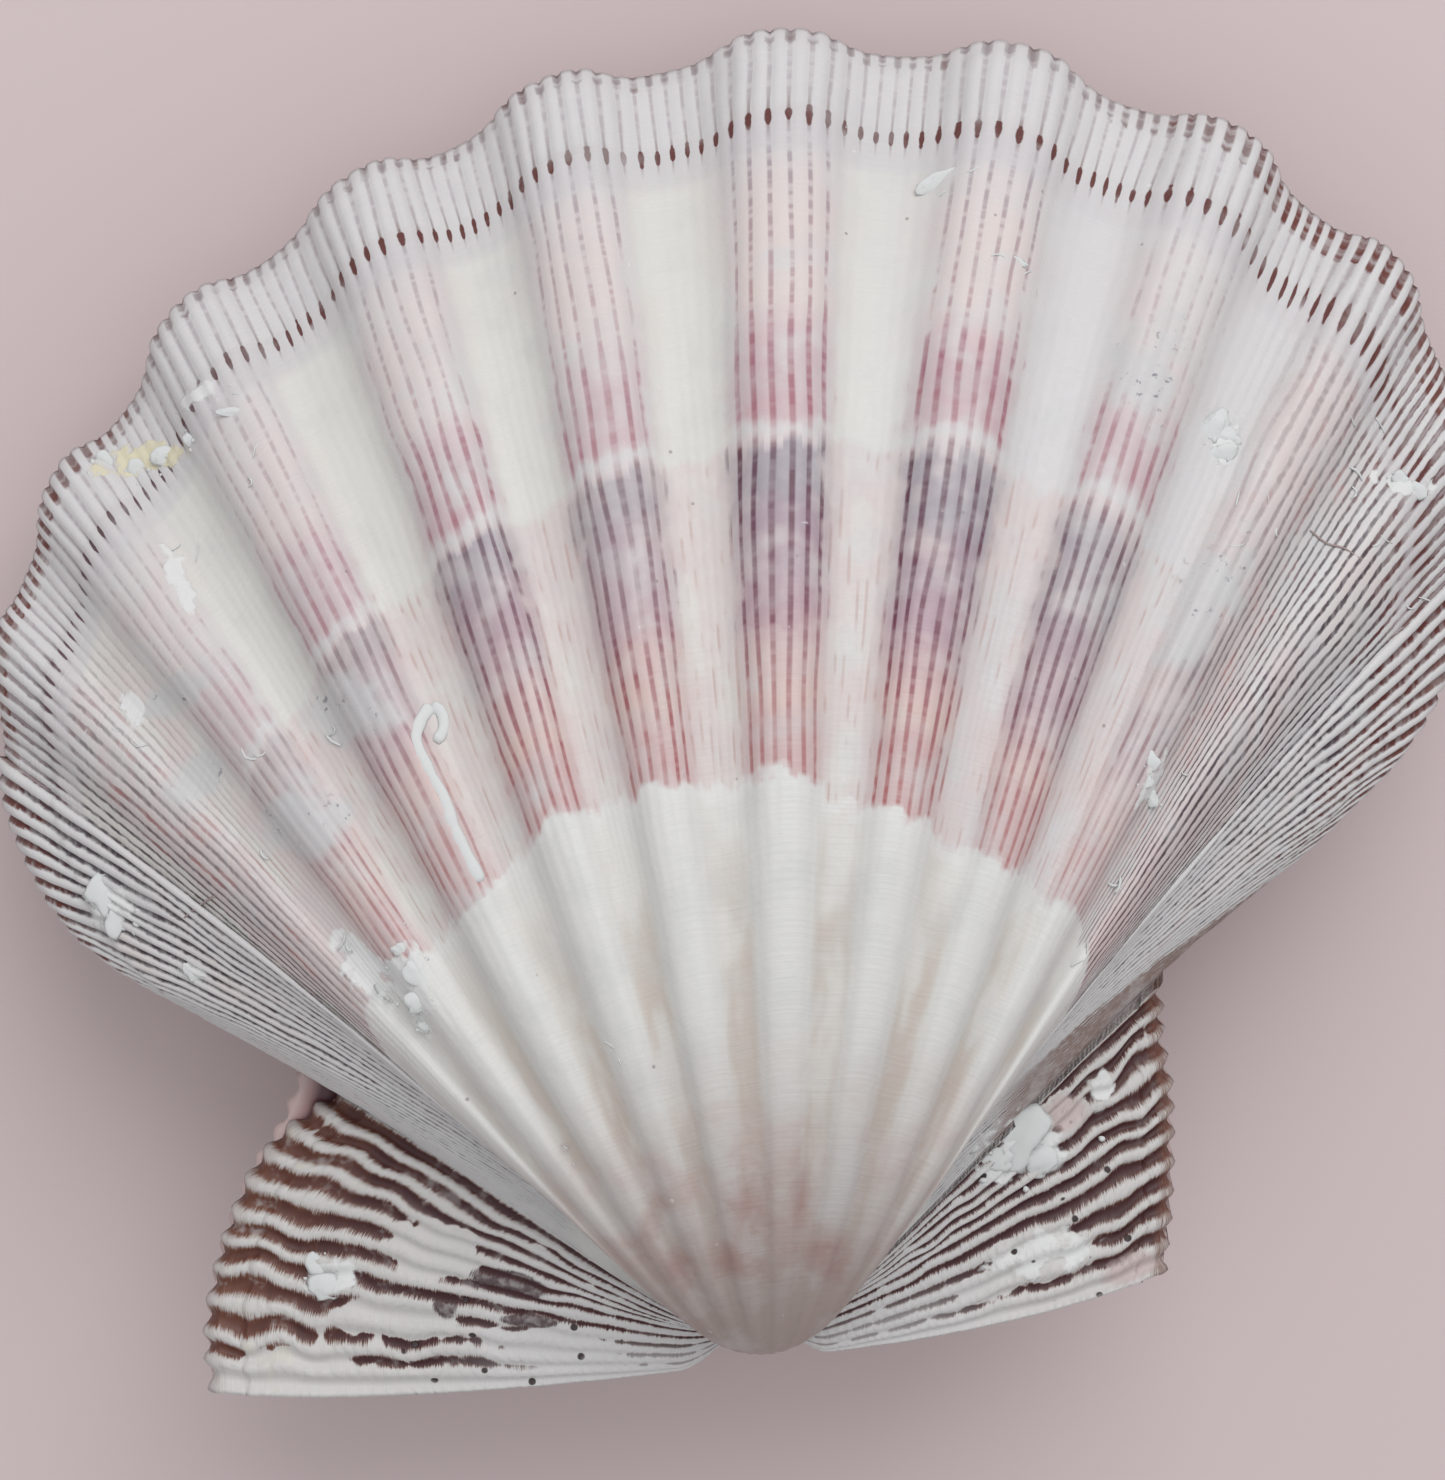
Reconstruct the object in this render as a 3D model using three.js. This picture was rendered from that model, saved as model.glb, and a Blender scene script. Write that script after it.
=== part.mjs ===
import * as THREE from 'three';

// A closed scallop shell, both valves, in millimetres.
// The shell is drawn with its hinge along X, the beak at the origin, +Y towards the free margin
// and the two margins meeting at Z = 0. It is then laid on the belly of its lower valve, +Z up.

// Margin of the disc, seen square on: from the byssal notch round to the other ear
const discOutline = [
  [-40.3, 29.7], [-51.5, 37.5], [-60.5, 44.8], [-64.8, 54], [-65.6, 64], [-62.5, 78.5], [-54, 91],
  [-41.5, 103.5], [-27, 112], [-9, 118.6], [9, 121.4], [27, 120.4], [43, 115.7], [58, 107.5],
  [70, 96.5], [76.9, 84], [77.9, 71], [75.6, 58.5], [70, 48.5], [60.3, 40.3], [51.9, 35], [42.9, 29.4],
];

const discLength = Math.max(...discOutline.map(([, y]) => y));

// Free edges of the ears, each from its hinge corner to the disc
const notchedEarOutline = [[-53, 0], [-52.6, 7], [-50.6, 13], [-47.2, 19.5], [-43, 23.7], [-36.9, 26.9]];
const fullEarOutline = [[-53, 0], [-52.6, 7], [-50.6, 13], [-47.2, 19.5], [-43.2, 24.5], [-41, 28.8]];
const hindEarOutline = [[42.1, 27.6], [41.6, 22], [41.9, 17], [41.4, 11.2], [40.6, 6.4], [39, 0]];

// Ribs: where each crest meets the margin, in degrees from +Y about the beak, and how strong it is
const crestAngles = [-41.7, -32.8, -22.9, -12.2, -2.5, 8.1, 18.8, 29.2, 38.4, 46.2];
const crestStrengths = [0.55, 0.85, 1, 1, 1, 1, 1, 1, 0.85, 0.5];
const ribHeight = 3.4;
const ribSharpness = 1.3;
const marginScallop = 1;
const lowerRibGain = 0.35;

// Columns of points across one rib, as parts of its width, and across a flank and an ear
const ribColumns = [-0.5, -0.34, -0.16, 0, 0.16, 0.34];
const flankColumns = 5;
const earColumns = 12;
const earRidge = 0.4;

// Coiling: how far each valve turns about the hinge, in radians per unit of the logarithm of its growth
const upperCurl = 0.64;
const lowerCurl = 0.56;

// Flanks spread outwards as the shell grows: by how much, over which part of a half wave from the ear,
// and what is left of it at the outermost rib
const flankSpread = 0.4;
const flankReach = 0.85;
const ribSpread = 0.18;

// How far the ears reach back past the hinge line beside the beak, from which growth stage on,
// and over which part of an ear's free edge that fades
const hingeOverhang = 3.5;
const overhangStage = 0.16;
const overhangWidth = 0.6;

// Where the ribbed margin starts and ends on the disc's outline, as parts of that outline
const ribbedFrom = 0.12;
const ribbedTo = 0.86;

// Growth stages that carry points, 1 being the margin
const outerStages = [1, 0.978, 0.935, 0.926, 0.84, 0.74, 0.63, 0.52, 0.41, 0.31, 0.22, 0.14, 0.085, 0.045];
const innerStages = [1, 0.95, 0.86, 0.74, 0.6, 0.46, 0.33, 0.22, 0.14];
const tipStage = 0.018;
const tipRise = 1;
const stageStep = 0.99;

// Wall, margin and growth ledge
const wall = 2;
const marginGap = 0.3;
const marginDrop = 1.6;
const lastBand = 0.022;
const ledgeStage = 0.93;
const ledgeHeight = 0.35;
const innerRibFade = 0.5;

// Low knobs on the ribs of the lower valve
const knobStages = [0.34, 0.52, 0.74];
const knobHeight = 1.1;
const knobLength = 0.045;

// How the closed shell lies: tilted towards its free margin, on crests that are worn flat
const restTilt = THREE.MathUtils.degToRad(-9);
const wornDepth = 1;

const colours = { upper: 0xd9d3d1, lower: 0x8a5a52 };

// Direction of a point from the beak, in degrees from +Y
function bearing(point) {
  return THREE.MathUtils.radToDeg(Math.atan2(point.x, point.y));
}

function splineThrough(outline) {
  return new THREE.SplineCurve(outline.map(([x, y]) => new THREE.Vector2(x, y)));
}

// Finds where the disc's margin crosses an angle, by halving the ribbed stretch
function placeOnMargin(curve, angle) {
  let low = ribbedFrom;
  let high = ribbedTo;
  for (let halving = 0; halving < 40; halving += 1) {
    const middle = (low + high) / 2;
    if (bearing(curve.getPoint(middle)) < angle) low = middle;
    else high = middle;
  }
  return low;
}

function ribWave(phase) {
  const wave = Math.cos(2 * Math.PI * phase);
  return Math.tanh(ribSharpness * wave) / Math.tanh(ribSharpness);
}

// Angle at the margin of a place among the ribs, such as 2.5 for the valley after rib 2
function ribAngle(place) {
  const last = crestAngles.length - 1;
  const index = Math.min(Math.max(Math.floor(place), 0), last - 1);
  return crestAngles[index] + (place - index) * (crestAngles[index + 1] - crestAngles[index]);
}

// One column of points: its place on the margin and what its ribs do along it
function column(point, options = {}) {
  return { x: point.x, y: point.y, wave: 0, ridge: 0, spread: 0, hinge: 0, knob: 0, ...options };
}

function ribsOfDisc(curve) {
  const columns = [];
  crestStrengths.forEach((strength, rib) => {
    const parts = rib === crestStrengths.length - 1 ? [...ribColumns, 0.5] : ribColumns;
    for (const part of parts) {
      const place = rib + part;
      const point = curve.getPoint(placeOnMargin(curve, ribAngle(place)));
      const wave = ribWave(part) * strength;
      const stretch = 1 + (marginScallop * wave) / point.length();
      const edge = Math.min(place + 0.5, crestStrengths.length - 0.5 - place);
      const spread = ribSpread * Math.exp(-edge);
      const knob = part === 0 ? strength : 0;
      columns.push(column(point.multiplyScalar(stretch), { wave, spread, knob }));
    }
  });
  return columns;
}

// A flank: the plain stretch of disc between its free edge at an ear and the first valley
function flankOfDisc(curve, valleyAngle, start) {
  const valley = placeOnMargin(curve, valleyAngle);
  const columns = [];
  for (let step = 0; step < flankColumns; step += 1) {
    const part = step / flankColumns;
    const spread = flankSpread * Math.sin(Math.PI * flankReach * part);
    columns.push(column(curve.getPoint(start + part * (valley - start)), { spread }));
  }
  return start === 0 ? columns : columns.reverse();
}

function earEdge(outline, startsAtHinge) {
  const curve = splineThrough(outline);
  const columns = [];
  for (let step = 0; step < earColumns; step += 1) {
    const point = curve.getPoint(step / (earColumns - 1));
    const hingeSteps = startsAtHinge ? step : earColumns - 1 - step;
    const ridge = hingeSteps % 2 === 1 ? earRidge : 0;
    const alongEdge = hingeSteps / (earColumns - 1);
    const hinge = THREE.MathUtils.smoothstep(1 - alongEdge / overhangWidth, 0, 1);
    columns.push(column(point, { ridge, hinge }));
  }
  return columns;
}

function marginColumns(frontEar) {
  const disc = splineThrough(discOutline);
  return [
    ...earEdge(frontEar, true),
    ...flankOfDisc(disc, ribAngle(-0.5), 0),
    ...ribsOfDisc(disc),
    ...flankOfDisc(disc, ribAngle(crestAngles.length - 0.5), 1),
    ...earEdge(hindEarOutline, false),
  ];
}

// The smooth valve: each point of the margin shrinks and curls up over the hinge as growth runs back
function smoothPoint(place, growth, curl) {
  const turn = -curl * Math.log(growth);
  const overhang = hingeOverhang * (1 - growth ** 3) * THREE.MathUtils.smoothstep(growth, 0, overhangStage);
  return new THREE.Vector3(
    growth * place.x * growth ** place.spread,
    growth * place.y * Math.cos(turn) - overhang * place.hinge,
    growth * place.y * Math.sin(turn),
  );
}

// The steeper last band, the ledge of an old growth stop and the knobs, as a height at a growth stage
function stageHeight(place, growth, knobs) {
  const band = Math.max(0, (growth - (1 - lastBand)) / lastBand);
  const ledge = growth > ledgeStage ? -ledgeHeight : 0;
  const bumps = knobs.reduce((sum, stage) => sum + Math.exp(-(((growth - stage) / knobLength) ** 2)), 0);
  return ledge - marginDrop * band ** 2 + place.knob * knobHeight * growth * bumps;
}

// Outer and inner faces of one valve, before it is turned over or laid down
function valveFaces(columns, curl, ribSign, ribGain, knobs) {
  const lift = wall + marginGap / 2;
  const ribLift = (place, growth) => {
    const gain = 1 + ribGain * (1 - growth);
    return ribSign * place.wave * gain * (ribHeight / 2) * growth;
  };
  const outer = outerStages.map((growth) => columns.map((place) => {
    const point = smoothPoint(place, growth, curl);
    point.z += lift + ribLift(place, growth) + place.ridge * growth + stageHeight(place, growth, knobs);
    return point;
  }));
  const inner = innerStages.map((growth) => columns.map((place, index) => {
    const point = smoothPoint(place, growth, curl);
    const normal = smoothNormal(columns, index, growth, curl);
    const fade = THREE.MathUtils.smoothstep(growth, 1 - innerRibFade, 1);
    point.x -= wall * normal.x;
    point.y -= wall * normal.y;
    point.z += lift - wall + ribLift(place, growth) * fade;
    return point;
  }));
  return { outer, inner };
}

function smoothNormal(columns, index, growth, curl) {
  const before = columns[Math.max(index - 1, 0)];
  const after = columns[Math.min(index + 1, columns.length - 1)];
  const across = smoothPoint(after, growth, curl).sub(smoothPoint(before, growth, curl));
  const along = smoothPoint(columns[index], growth, curl);
  along.sub(smoothPoint(columns[index], growth * stageStep, curl));
  return across.cross(along).normalize();
}

// Joins the two faces of a valve into one closed skin
function closeValve({ outer, inner }, curl, columns) {
  const points = [];
  const triangles = [];
  const keep = (rows) => rows.map((row) => row.map((point) => points.push(point) - 1));
  const outerRows = keep(outer);
  const innerRows = keep(inner);
  const middle = column({ x: 0, y: discLength });
  const outerTip = points.push(smoothPoint(middle, tipStage, curl).setZ(wall + tipRise)) - 1;
  const innerTip = points.push(new THREE.Vector3(0, wall / 2, marginGap / 2)) - 1;

  const sheet = (rows, tip, flip) => {
    const add = (a, b, c) => triangles.push(...(flip ? [a, c, b] : [a, b, c]));
    for (let r = 0; r + 1 < rows.length; r += 1) {
      for (let c = 0; c + 1 < columns.length; c += 1) {
        add(rows[r][c], rows[r + 1][c], rows[r + 1][c + 1]);
        add(rows[r][c], rows[r + 1][c + 1], rows[r][c + 1]);
      }
    }
    const last = rows[rows.length - 1];
    for (let c = 0; c + 1 < columns.length; c += 1) add(last[c], tip, last[c + 1]);
  };
  sheet(outerRows, outerTip, false);
  sheet(innerRows, innerTip, true);

  // The strip along two edges that start level, walked by whichever is less far along
  const strip = (edge, other, flip) => {
    const add = (a, b, c) => triangles.push(...(flip ? [a, c, b] : [a, b, c]));
    let i = 0;
    let j = 0;
    while (i + 1 < edge.length || j + 1 < other.length) {
      const nextEdge = i + 1 < edge.length ? points[edge[i + 1]].length() : -1;
      const nextOther = j + 1 < other.length ? points[other[j + 1]].length() : -1;
      if (nextEdge >= nextOther) {
        add(edge[i], edge[i + 1], other[j]);
        i += 1;
      } else {
        add(edge[i], other[j + 1], other[j]);
        j += 1;
      }
    }
  };
  const edgeOf = (rows, c, tip) => [...rows.map((row) => row[c]), tip];
  const end = columns.length - 1;
  strip(edgeOf(outerRows, 0, outerTip), edgeOf(innerRows, 0, innerTip), true);
  strip(edgeOf(outerRows, end, outerTip), edgeOf(innerRows, end, innerTip), false);
  for (let c = 0; c < end; c += 1) {
    const corners = [outerRows[0][c], outerRows[0][c + 1], innerRows[0][c + 1], innerRows[0][c]];
    triangles.push(corners[0], corners[1], corners[2], corners[0], corners[2], corners[3]);
  }
  return { points, triangles };
}

function buildValve(frontEar, curl, ribSign, ribGain, knobs) {
  const columns = marginColumns(frontEar);
  return closeValve(valveFaces(columns, curl, ribSign, ribGain, knobs), curl, columns);
}

// Turns a valve over to be the lower one: mirrored in height, so its triangles turn round too
function turnOver({ points, triangles }) {
  const turned = [];
  for (let t = 0; t < triangles.length; t += 3) turned.push(triangles[t], triangles[t + 2], triangles[t + 1]);
  return { points: points.map((point) => point.setZ(-point.z)), triangles: turned };
}

function meshOf(name, { points, triangles }, colour) {
  const geometry = new THREE.BufferGeometry();
  geometry.setAttribute('position', new THREE.Float32BufferAttribute(points.flatMap((p) => [p.x, p.y, p.z]), 3));
  geometry.setIndex(triangles);
  geometry.computeVertexNormals();
  const mesh = new THREE.Mesh(geometry, new THREE.MeshStandardMaterial({ color: colour, roughness: 0.5 }));
  mesh.name = name;
  return mesh;
}

const upper = buildValve(notchedEarOutline, upperCurl, 1, 0, []);
const lower = turnOver(buildValve(fullEarOutline, lowerCurl, -1, lowerRibGain, knobStages));

// Lays the closed shell on its lower valve, wears the lowest crests flat and centres it over the origin
const rest = new THREE.Matrix4().makeRotationX(restTilt);
const allPoints = [...upper.points, ...lower.points];
allPoints.forEach((point) => point.applyMatrix4(rest));
const ground = Math.min(...allPoints.map((point) => point.z)) + wornDepth;
allPoints.forEach((point) => point.setZ(Math.max(point.z - ground, 0)));
const box = new THREE.Box3().setFromPoints(allPoints);
const centre = box.getCenter(new THREE.Vector3()).setZ(0);
allPoints.forEach((point) => point.sub(centre));

const shell = new THREE.Group();
shell.add(meshOf('right_valve', upper, colours.upper));
shell.add(meshOf('left_valve', lower, colours.lower));

export default shell;
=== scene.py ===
import itertools
import math
from types import SimpleNamespace

import bmesh
import bpy
import numpy as np
from mathutils import Matrix, Vector


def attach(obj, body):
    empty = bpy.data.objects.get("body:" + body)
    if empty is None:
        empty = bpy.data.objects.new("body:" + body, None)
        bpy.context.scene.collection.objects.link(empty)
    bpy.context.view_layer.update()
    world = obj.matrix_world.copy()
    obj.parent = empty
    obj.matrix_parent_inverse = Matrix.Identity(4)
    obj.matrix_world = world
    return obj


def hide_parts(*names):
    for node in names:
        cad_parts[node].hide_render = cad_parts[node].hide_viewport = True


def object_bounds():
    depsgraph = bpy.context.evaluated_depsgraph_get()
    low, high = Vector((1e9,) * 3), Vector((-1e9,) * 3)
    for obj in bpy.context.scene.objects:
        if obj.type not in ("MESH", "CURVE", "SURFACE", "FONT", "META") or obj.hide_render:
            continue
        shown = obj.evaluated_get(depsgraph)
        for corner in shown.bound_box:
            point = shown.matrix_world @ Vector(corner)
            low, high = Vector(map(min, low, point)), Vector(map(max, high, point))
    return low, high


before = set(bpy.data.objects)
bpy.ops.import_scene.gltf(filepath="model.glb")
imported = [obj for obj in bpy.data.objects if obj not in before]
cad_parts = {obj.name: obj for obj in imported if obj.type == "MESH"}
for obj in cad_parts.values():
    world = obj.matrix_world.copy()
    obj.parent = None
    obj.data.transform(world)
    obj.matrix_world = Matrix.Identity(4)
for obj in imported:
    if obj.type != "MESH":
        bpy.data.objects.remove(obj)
cad_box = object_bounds()

MM = 0.001

# Margin of the disc square on, in millimetres: beak at the origin, hinge along X, +Y to the free margin
DISC_OUTLINE = [
    (-40.3, 29.7), (-51.5, 37.5), (-60.5, 44.8), (-64.8, 54), (-65.6, 64), (-62.5, 78.5), (-54, 91),
    (-41.5, 103.5), (-27, 112), (-9, 118.6), (9, 121.4), (27, 120.4), (43, 115.7), (58, 107.5),
    (70, 96.5), (76.9, 84), (77.9, 71), (75.6, 58.5), (70, 48.5), (60.3, 40.3), (51.9, 35), (42.9, 29.4),
]
NOTCHED_EAR = [(-53, 0), (-52.6, 7), (-50.6, 13), (-47.2, 19.5), (-43, 23.7), (-36.9, 26.9)]
FULL_EAR = [(-53, 0), (-52.6, 7), (-50.6, 13), (-47.2, 19.5), (-43.2, 24.5), (-41, 28.8)]
HIND_EAR = [(42.1, 27.6), (41.6, 22), (41.9, 17), (41.4, 11.2), (40.6, 6.4), (39, 0)]

# Ribs: where each crest meets the margin, in degrees from +Y about the beak, how strong and how square it
# is, how much lower it starts near the beak, and how much higher the lower valve's young ribs are
CREST_ANGLES = [-41.7, -32.8, -22.9, -12.2, -2.5, 8.1, 18.8, 29.2, 38.4, 46.2]
CREST_STRENGTHS = [0.55, 0.85, 1, 1, 1, 1, 1, 1, 0.85, 0.5]
RIB_HEIGHT = 3.4
RIB_SHARPNESS = 1.3
EARLY_RIBS_LOWER = 0.3
MARGIN_SCALLOP = 1.0
LOWER_RIB_GAIN = 0.35

# Riblets: how many to a rib's width, how much wider on its crest half way and at the margin, how many on
# flanks and ears, how much closer they lie towards the ears, columns to each, how flat their tops are, how
# far they sway, as a part of their width, and over which length in millimetres
RIBLETS_PER_RIB = 13
YOUNG_SPREAD = 0.34
GROWN_SPREAD = 0.16
FLANK_RIBLETS = 26
FLANK_CROWDING = 1.2
EAR_RIDGES = 11
STEPS_PER_RIBLET = 4
STEPS_PER_RIDGE = 6
RIBLET_FLATNESS = 2.5
RIB_SWAY, FLANK_SWAY, EAR_SWAY = 0.25, 0.5, 0.45
SWAY_LENGTH = 7.0
DISC_LENGTH = 121.4

# Height of the riblets on the ears, the flanks and the ribs, and the stages where those on the ribs are worn
EAR_RELIEF, FLANK_RELIEF, RIB_RELIEF = 0.42, 0.26, 0.2
WORN_FROM, WORN_TO = (0.36, 0.56), (0.88, 0.95)

# Uneven growth over the whole outside: height and size of its swells
SWELLS = [(0.22, 11.0), (0.1, 3.5), (0.05, 1.5)]

# Coiling and spreading as the shell grows
UPPER_CURL = 0.64
LOWER_CURL = 0.56
FLANK_SPREAD = 0.4
FLANK_REACH = 0.85
RIB_SPREAD = 0.18

# How far the ears reach back past the hinge line beside the beak, and from which stage on
HINGE_OVERHANG = 3.5
OVERHANG_START = 0.16
OVERHANG_WIDTH = 0.6

# Wall, margin, growth ledge and worn crests
WALL = 2.0
MARGIN_GAP = 0.3
MARGIN_DROP = 1.6
LAST_BAND = 0.022
LEDGE_STAGE = 0.93
LEDGE_HEIGHT = 0.35
INNER_RIB_FADE = 0.5
TIP_STAGE = 0.018
REST_TILT = math.radians(-9)

# Low knobs on the ribs of the lower valve
KNOB_STAGES = [0.34, 0.52, 0.74]
KNOB_HEIGHT = 1.1
KNOB_LENGTH = 0.045

# The photograph: its size and scale, the point over the beak, the turn of the hinge, and how far off it was
PHOTO_WIDTH, PHOTO_HEIGHT = 1445, 1480
PIXELS_PER_MM = 10.4
BEAK_PIXEL = (760, 1319)
HINGE_TURN = math.radians(7.2)
CAMERA_DISTANCE = 330.0


def lattice_noise(points, size, seed):
    """Smooth noise from -1 to 1 on an N by 3 array of points, with features about one size across."""
    cell = points / size
    base = np.floor(cell).astype(np.int64)
    part = cell - base
    part = part * part * (3 - 2 * part)
    total = np.zeros(len(points))
    for corner in itertools.product((0, 1), repeat=3):
        index = base + np.array(corner)
        # Large odd factors scatter the corners' values
        key = index[:, 0] * 73856093 ^ index[:, 1] * 19349663 ^ index[:, 2] * 83492791 ^ seed * 2654435761
        key = (key ^ (key >> 13)) * 1274126177 & 0xFFFFFFFF
        value = ((key ^ (key >> 16)) & 0xFFFF) / 32767.5 - 1
        weight = np.prod(np.where(corner, part, 1 - part), axis=1)
        total += value * weight
    return total


def smoothstep(value, low, high):
    part = np.clip((value - low) / (high - low), 0, 1)
    return part * part * (3 - 2 * part)


def spline(outline, places):
    """Points of a uniform Catmull-Rom curve through an outline, at places from 0 to 1."""
    points = np.array(outline, float)
    last = len(points) - 1
    along = np.clip(np.asarray(places, float), 0, 1) * last
    index = np.minimum(along.astype(int), last - 1)
    part = (along - index)[..., None]
    p0, p1 = points[np.maximum(index - 1, 0)], points[index]
    p2, p3 = points[index + 1], points[np.minimum(index + 2, last)]
    v1, v2 = (p2 - p0) / 2, (p3 - p1) / 2
    return ((2 * p1 - 2 * p2 + v1 + v2) * part**3 + (3 * p2 - 3 * p1 - 2 * v1 - v2) * part**2
            + v1 * part + p1)


def rib_angle(place):
    """Angle at the margin of a place among the ribs, such as 2.5 for the valley after rib 2."""
    crests = np.array(CREST_ANGLES)
    index = np.clip(np.floor(place).astype(int), 0, len(crests) - 2)
    return crests[index] + (place - index) * (crests[index + 1] - crests[index])


def place_on_margin(angles):
    places = np.linspace(0.12, 0.86, 4000)
    points = spline(DISC_OUTLINE, places)
    bearings = np.degrees(np.arctan2(points[:, 0], points[:, 1]))
    return np.interp(angles, bearings, places)


def rib_wave(place):
    wave = np.cos(2 * np.pi * place)
    return np.tanh(RIB_SHARPNESS * wave) / math.tanh(RIB_SHARPNESS)


def even_places(outline, low, high, count, crowding=1.0):
    """Places between two others on an outline, evenly spaced along it or crowded towards the first."""
    places = np.linspace(low, high, 400)
    points = spline(outline, places)
    lengths = np.r_[0, np.cumsum(np.linalg.norm(np.diff(points, axis=0), axis=1))]
    return np.interp(np.linspace(0, 1, count) ** crowding * lengths[-1], lengths, places)


def swayed(places, steps, stages, amount, seed):
    """Places for every stage and column, swayed sideways by up to this part of a riblet; both ends stay."""
    count = places.shape[-1]
    column = np.arange(count)
    along = stages[:, None] * DISC_LENGTH / SWAY_LENGTH
    spots = np.stack(np.broadcast_arrays(column / steps / 2, along, 0.5), -1)
    sway = lattice_noise(spots.reshape(-1, 3), 1.0, seed).reshape(len(stages), count)
    still = np.clip(np.minimum(column, count - 1 - column) / (2 * steps), 0, 1)
    shifted = column + amount * steps * still * sway
    places = np.broadcast_to(places, sway.shape)
    return np.stack([np.interp(row, column, base) for row, base in zip(shifted, places)])


def ribbed_columns(stages):
    """The ribbed stretch of the disc, by stage: margin points with their rib, riblet and wave."""
    ribs = len(CREST_ANGLES)
    count = ribs * RIBLETS_PER_RIB * STEPS_PER_RIBLET
    riblet = np.arange(count + 1) / STEPS_PER_RIBLET - RIBLETS_PER_RIB / 2
    table = np.linspace(-0.5, ribs - 0.5, 4000)
    wider = YOUNG_SPREAD + (GROWN_SPREAD - YOUNG_SPREAD) * smoothstep(stages, 0.6, 0.93)
    bulge = np.sin(2 * np.pi * table) / (2 * np.pi)
    counted = [RIBLETS_PER_RIB * (table - spread * bulge) for spread in wider]
    place = np.stack([np.interp(riblet, row, table) for row in counted])
    place = swayed(place, STEPS_PER_RIBLET, stages, RIB_SWAY, 1)
    points = spline(DISC_OUTLINE, place_on_margin(rib_angle(place)))
    strength = np.interp(place, np.arange(ribs), CREST_STRENGTHS)
    wave = rib_wave(place) * strength
    radius = np.linalg.norm(points, axis=-1)
    points *= (1 + MARGIN_SCALLOP * wave / radius)[..., None]
    edge = np.minimum(place + 0.5, ribs - 0.5 - place)
    return dict(xy=points, wave=wave, riblet=riblet, rib=place, spread=RIB_SPREAD * np.exp(-edge), hinge=0.0)


def flank_columns(stages, side):
    """A flank, from the disc's free edge at an ear (left out on the rib's side) to the first valley."""
    ribs = len(CREST_ANGLES)
    valley_rib = -0.5 if side < 0 else ribs - 0.5
    valley = place_on_margin(rib_angle(np.array([valley_rib])))[0]
    start = 0.0 if side < 0 else 1.0
    count = FLANK_RIBLETS * STEPS_PER_RIBLET
    places = even_places(DISC_OUTLINE, start, valley, count + 1, FLANK_CROWDING)
    places = swayed(places, STEPS_PER_RIBLET, stages, FLANK_SWAY, 2)[:, :-1]
    part = (places - start) / (valley - start)
    off = np.arange(count, 0, -1) / STEPS_PER_RIBLET
    riblet = valley_rib * RIBLETS_PER_RIB + side * off
    rib = valley_rib + side * off / RIBLETS_PER_RIB
    spread = FLANK_SPREAD * np.sin(np.pi * FLANK_REACH * part)
    if side > 0:
        places, riblet, rib, spread = places[:, ::-1], riblet[::-1], rib[::-1], spread[:, ::-1]
    return dict(xy=spline(DISC_OUTLINE, places), wave=0.0, riblet=riblet, rib=rib, spread=spread, hinge=0.0)


def ear_columns(outline, stages, side):
    count = EAR_RIDGES * STEPS_PER_RIDGE + 1
    places = swayed(even_places(outline, 0, 1, count), STEPS_PER_RIDGE, stages, EAR_SWAY, 3)
    ridge = np.arange(count) / STEPS_PER_RIDGE
    if side > 0:
        ridge = ridge[::-1]
    hinge = smoothstep(1 - ridge / EAR_RIDGES / OVERHANG_WIDTH, 0, 1)
    return dict(xy=spline(outline, places), wave=0.0, riblet=ridge, rib=side * 20.0, spread=0.0, hinge=hinge)


def margin_columns(front_ear, stages):
    """All columns of a valve at each stage, from one hinge corner round the margin to the other."""
    parts = [ear_columns(front_ear, stages, -1), flank_columns(stages, -1), ribbed_columns(stages),
             flank_columns(stages, 1), ear_columns(HIND_EAR, stages, 1)]
    for zone, part in enumerate(parts):
        part["zone"] = float(zone)
        shape = part["xy"].shape[:2]
        part.update({key: np.broadcast_to(value, shape) for key, value in part.items() if key != "xy"})
    return {key: np.concatenate([part[key] for part in parts], axis=1) for key in parts[0]}


def smooth_surface(columns, stages, curl):
    """The valve without ribs: each margin point shrinks and curls up over the hinge."""
    growth = stages[:, None]
    turn = -curl * np.log(growth)
    x, y = columns["xy"][..., 0], columns["xy"][..., 1]
    overhang = HINGE_OVERHANG * (1 - growth**3) * smoothstep(growth, 0, OVERHANG_START)
    return np.stack([
        growth * x * growth ** columns["spread"],
        growth * y * np.cos(turn) - overhang * columns["hinge"],
        growth * y * np.sin(turn),
    ], axis=2)


def grid_normals(grid):
    across = np.gradient(grid, axis=1)
    along = -np.gradient(grid, axis=0)
    normals = np.cross(across, along)
    return normals / np.maximum(np.linalg.norm(normals, axis=2, keepdims=True), 1e-9)


def growth_stages(count):
    """Stages from the margin to the beak, closer together at the last band and at the ledge."""
    table = np.linspace(1, TIP_STAGE, 4000)
    density = 1 + 3.5 * np.exp(-((table - 0.985) / 0.018) ** 2)
    density += 2.5 * np.exp(-((table - LEDGE_STAGE) / 0.012) ** 2) + 1.5 * np.exp(-table / 0.1)
    run = np.r_[0, np.cumsum((density[1:] + density[:-1]) / 2)]
    return np.interp(np.linspace(0, run[-1], count), run, table)


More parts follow.
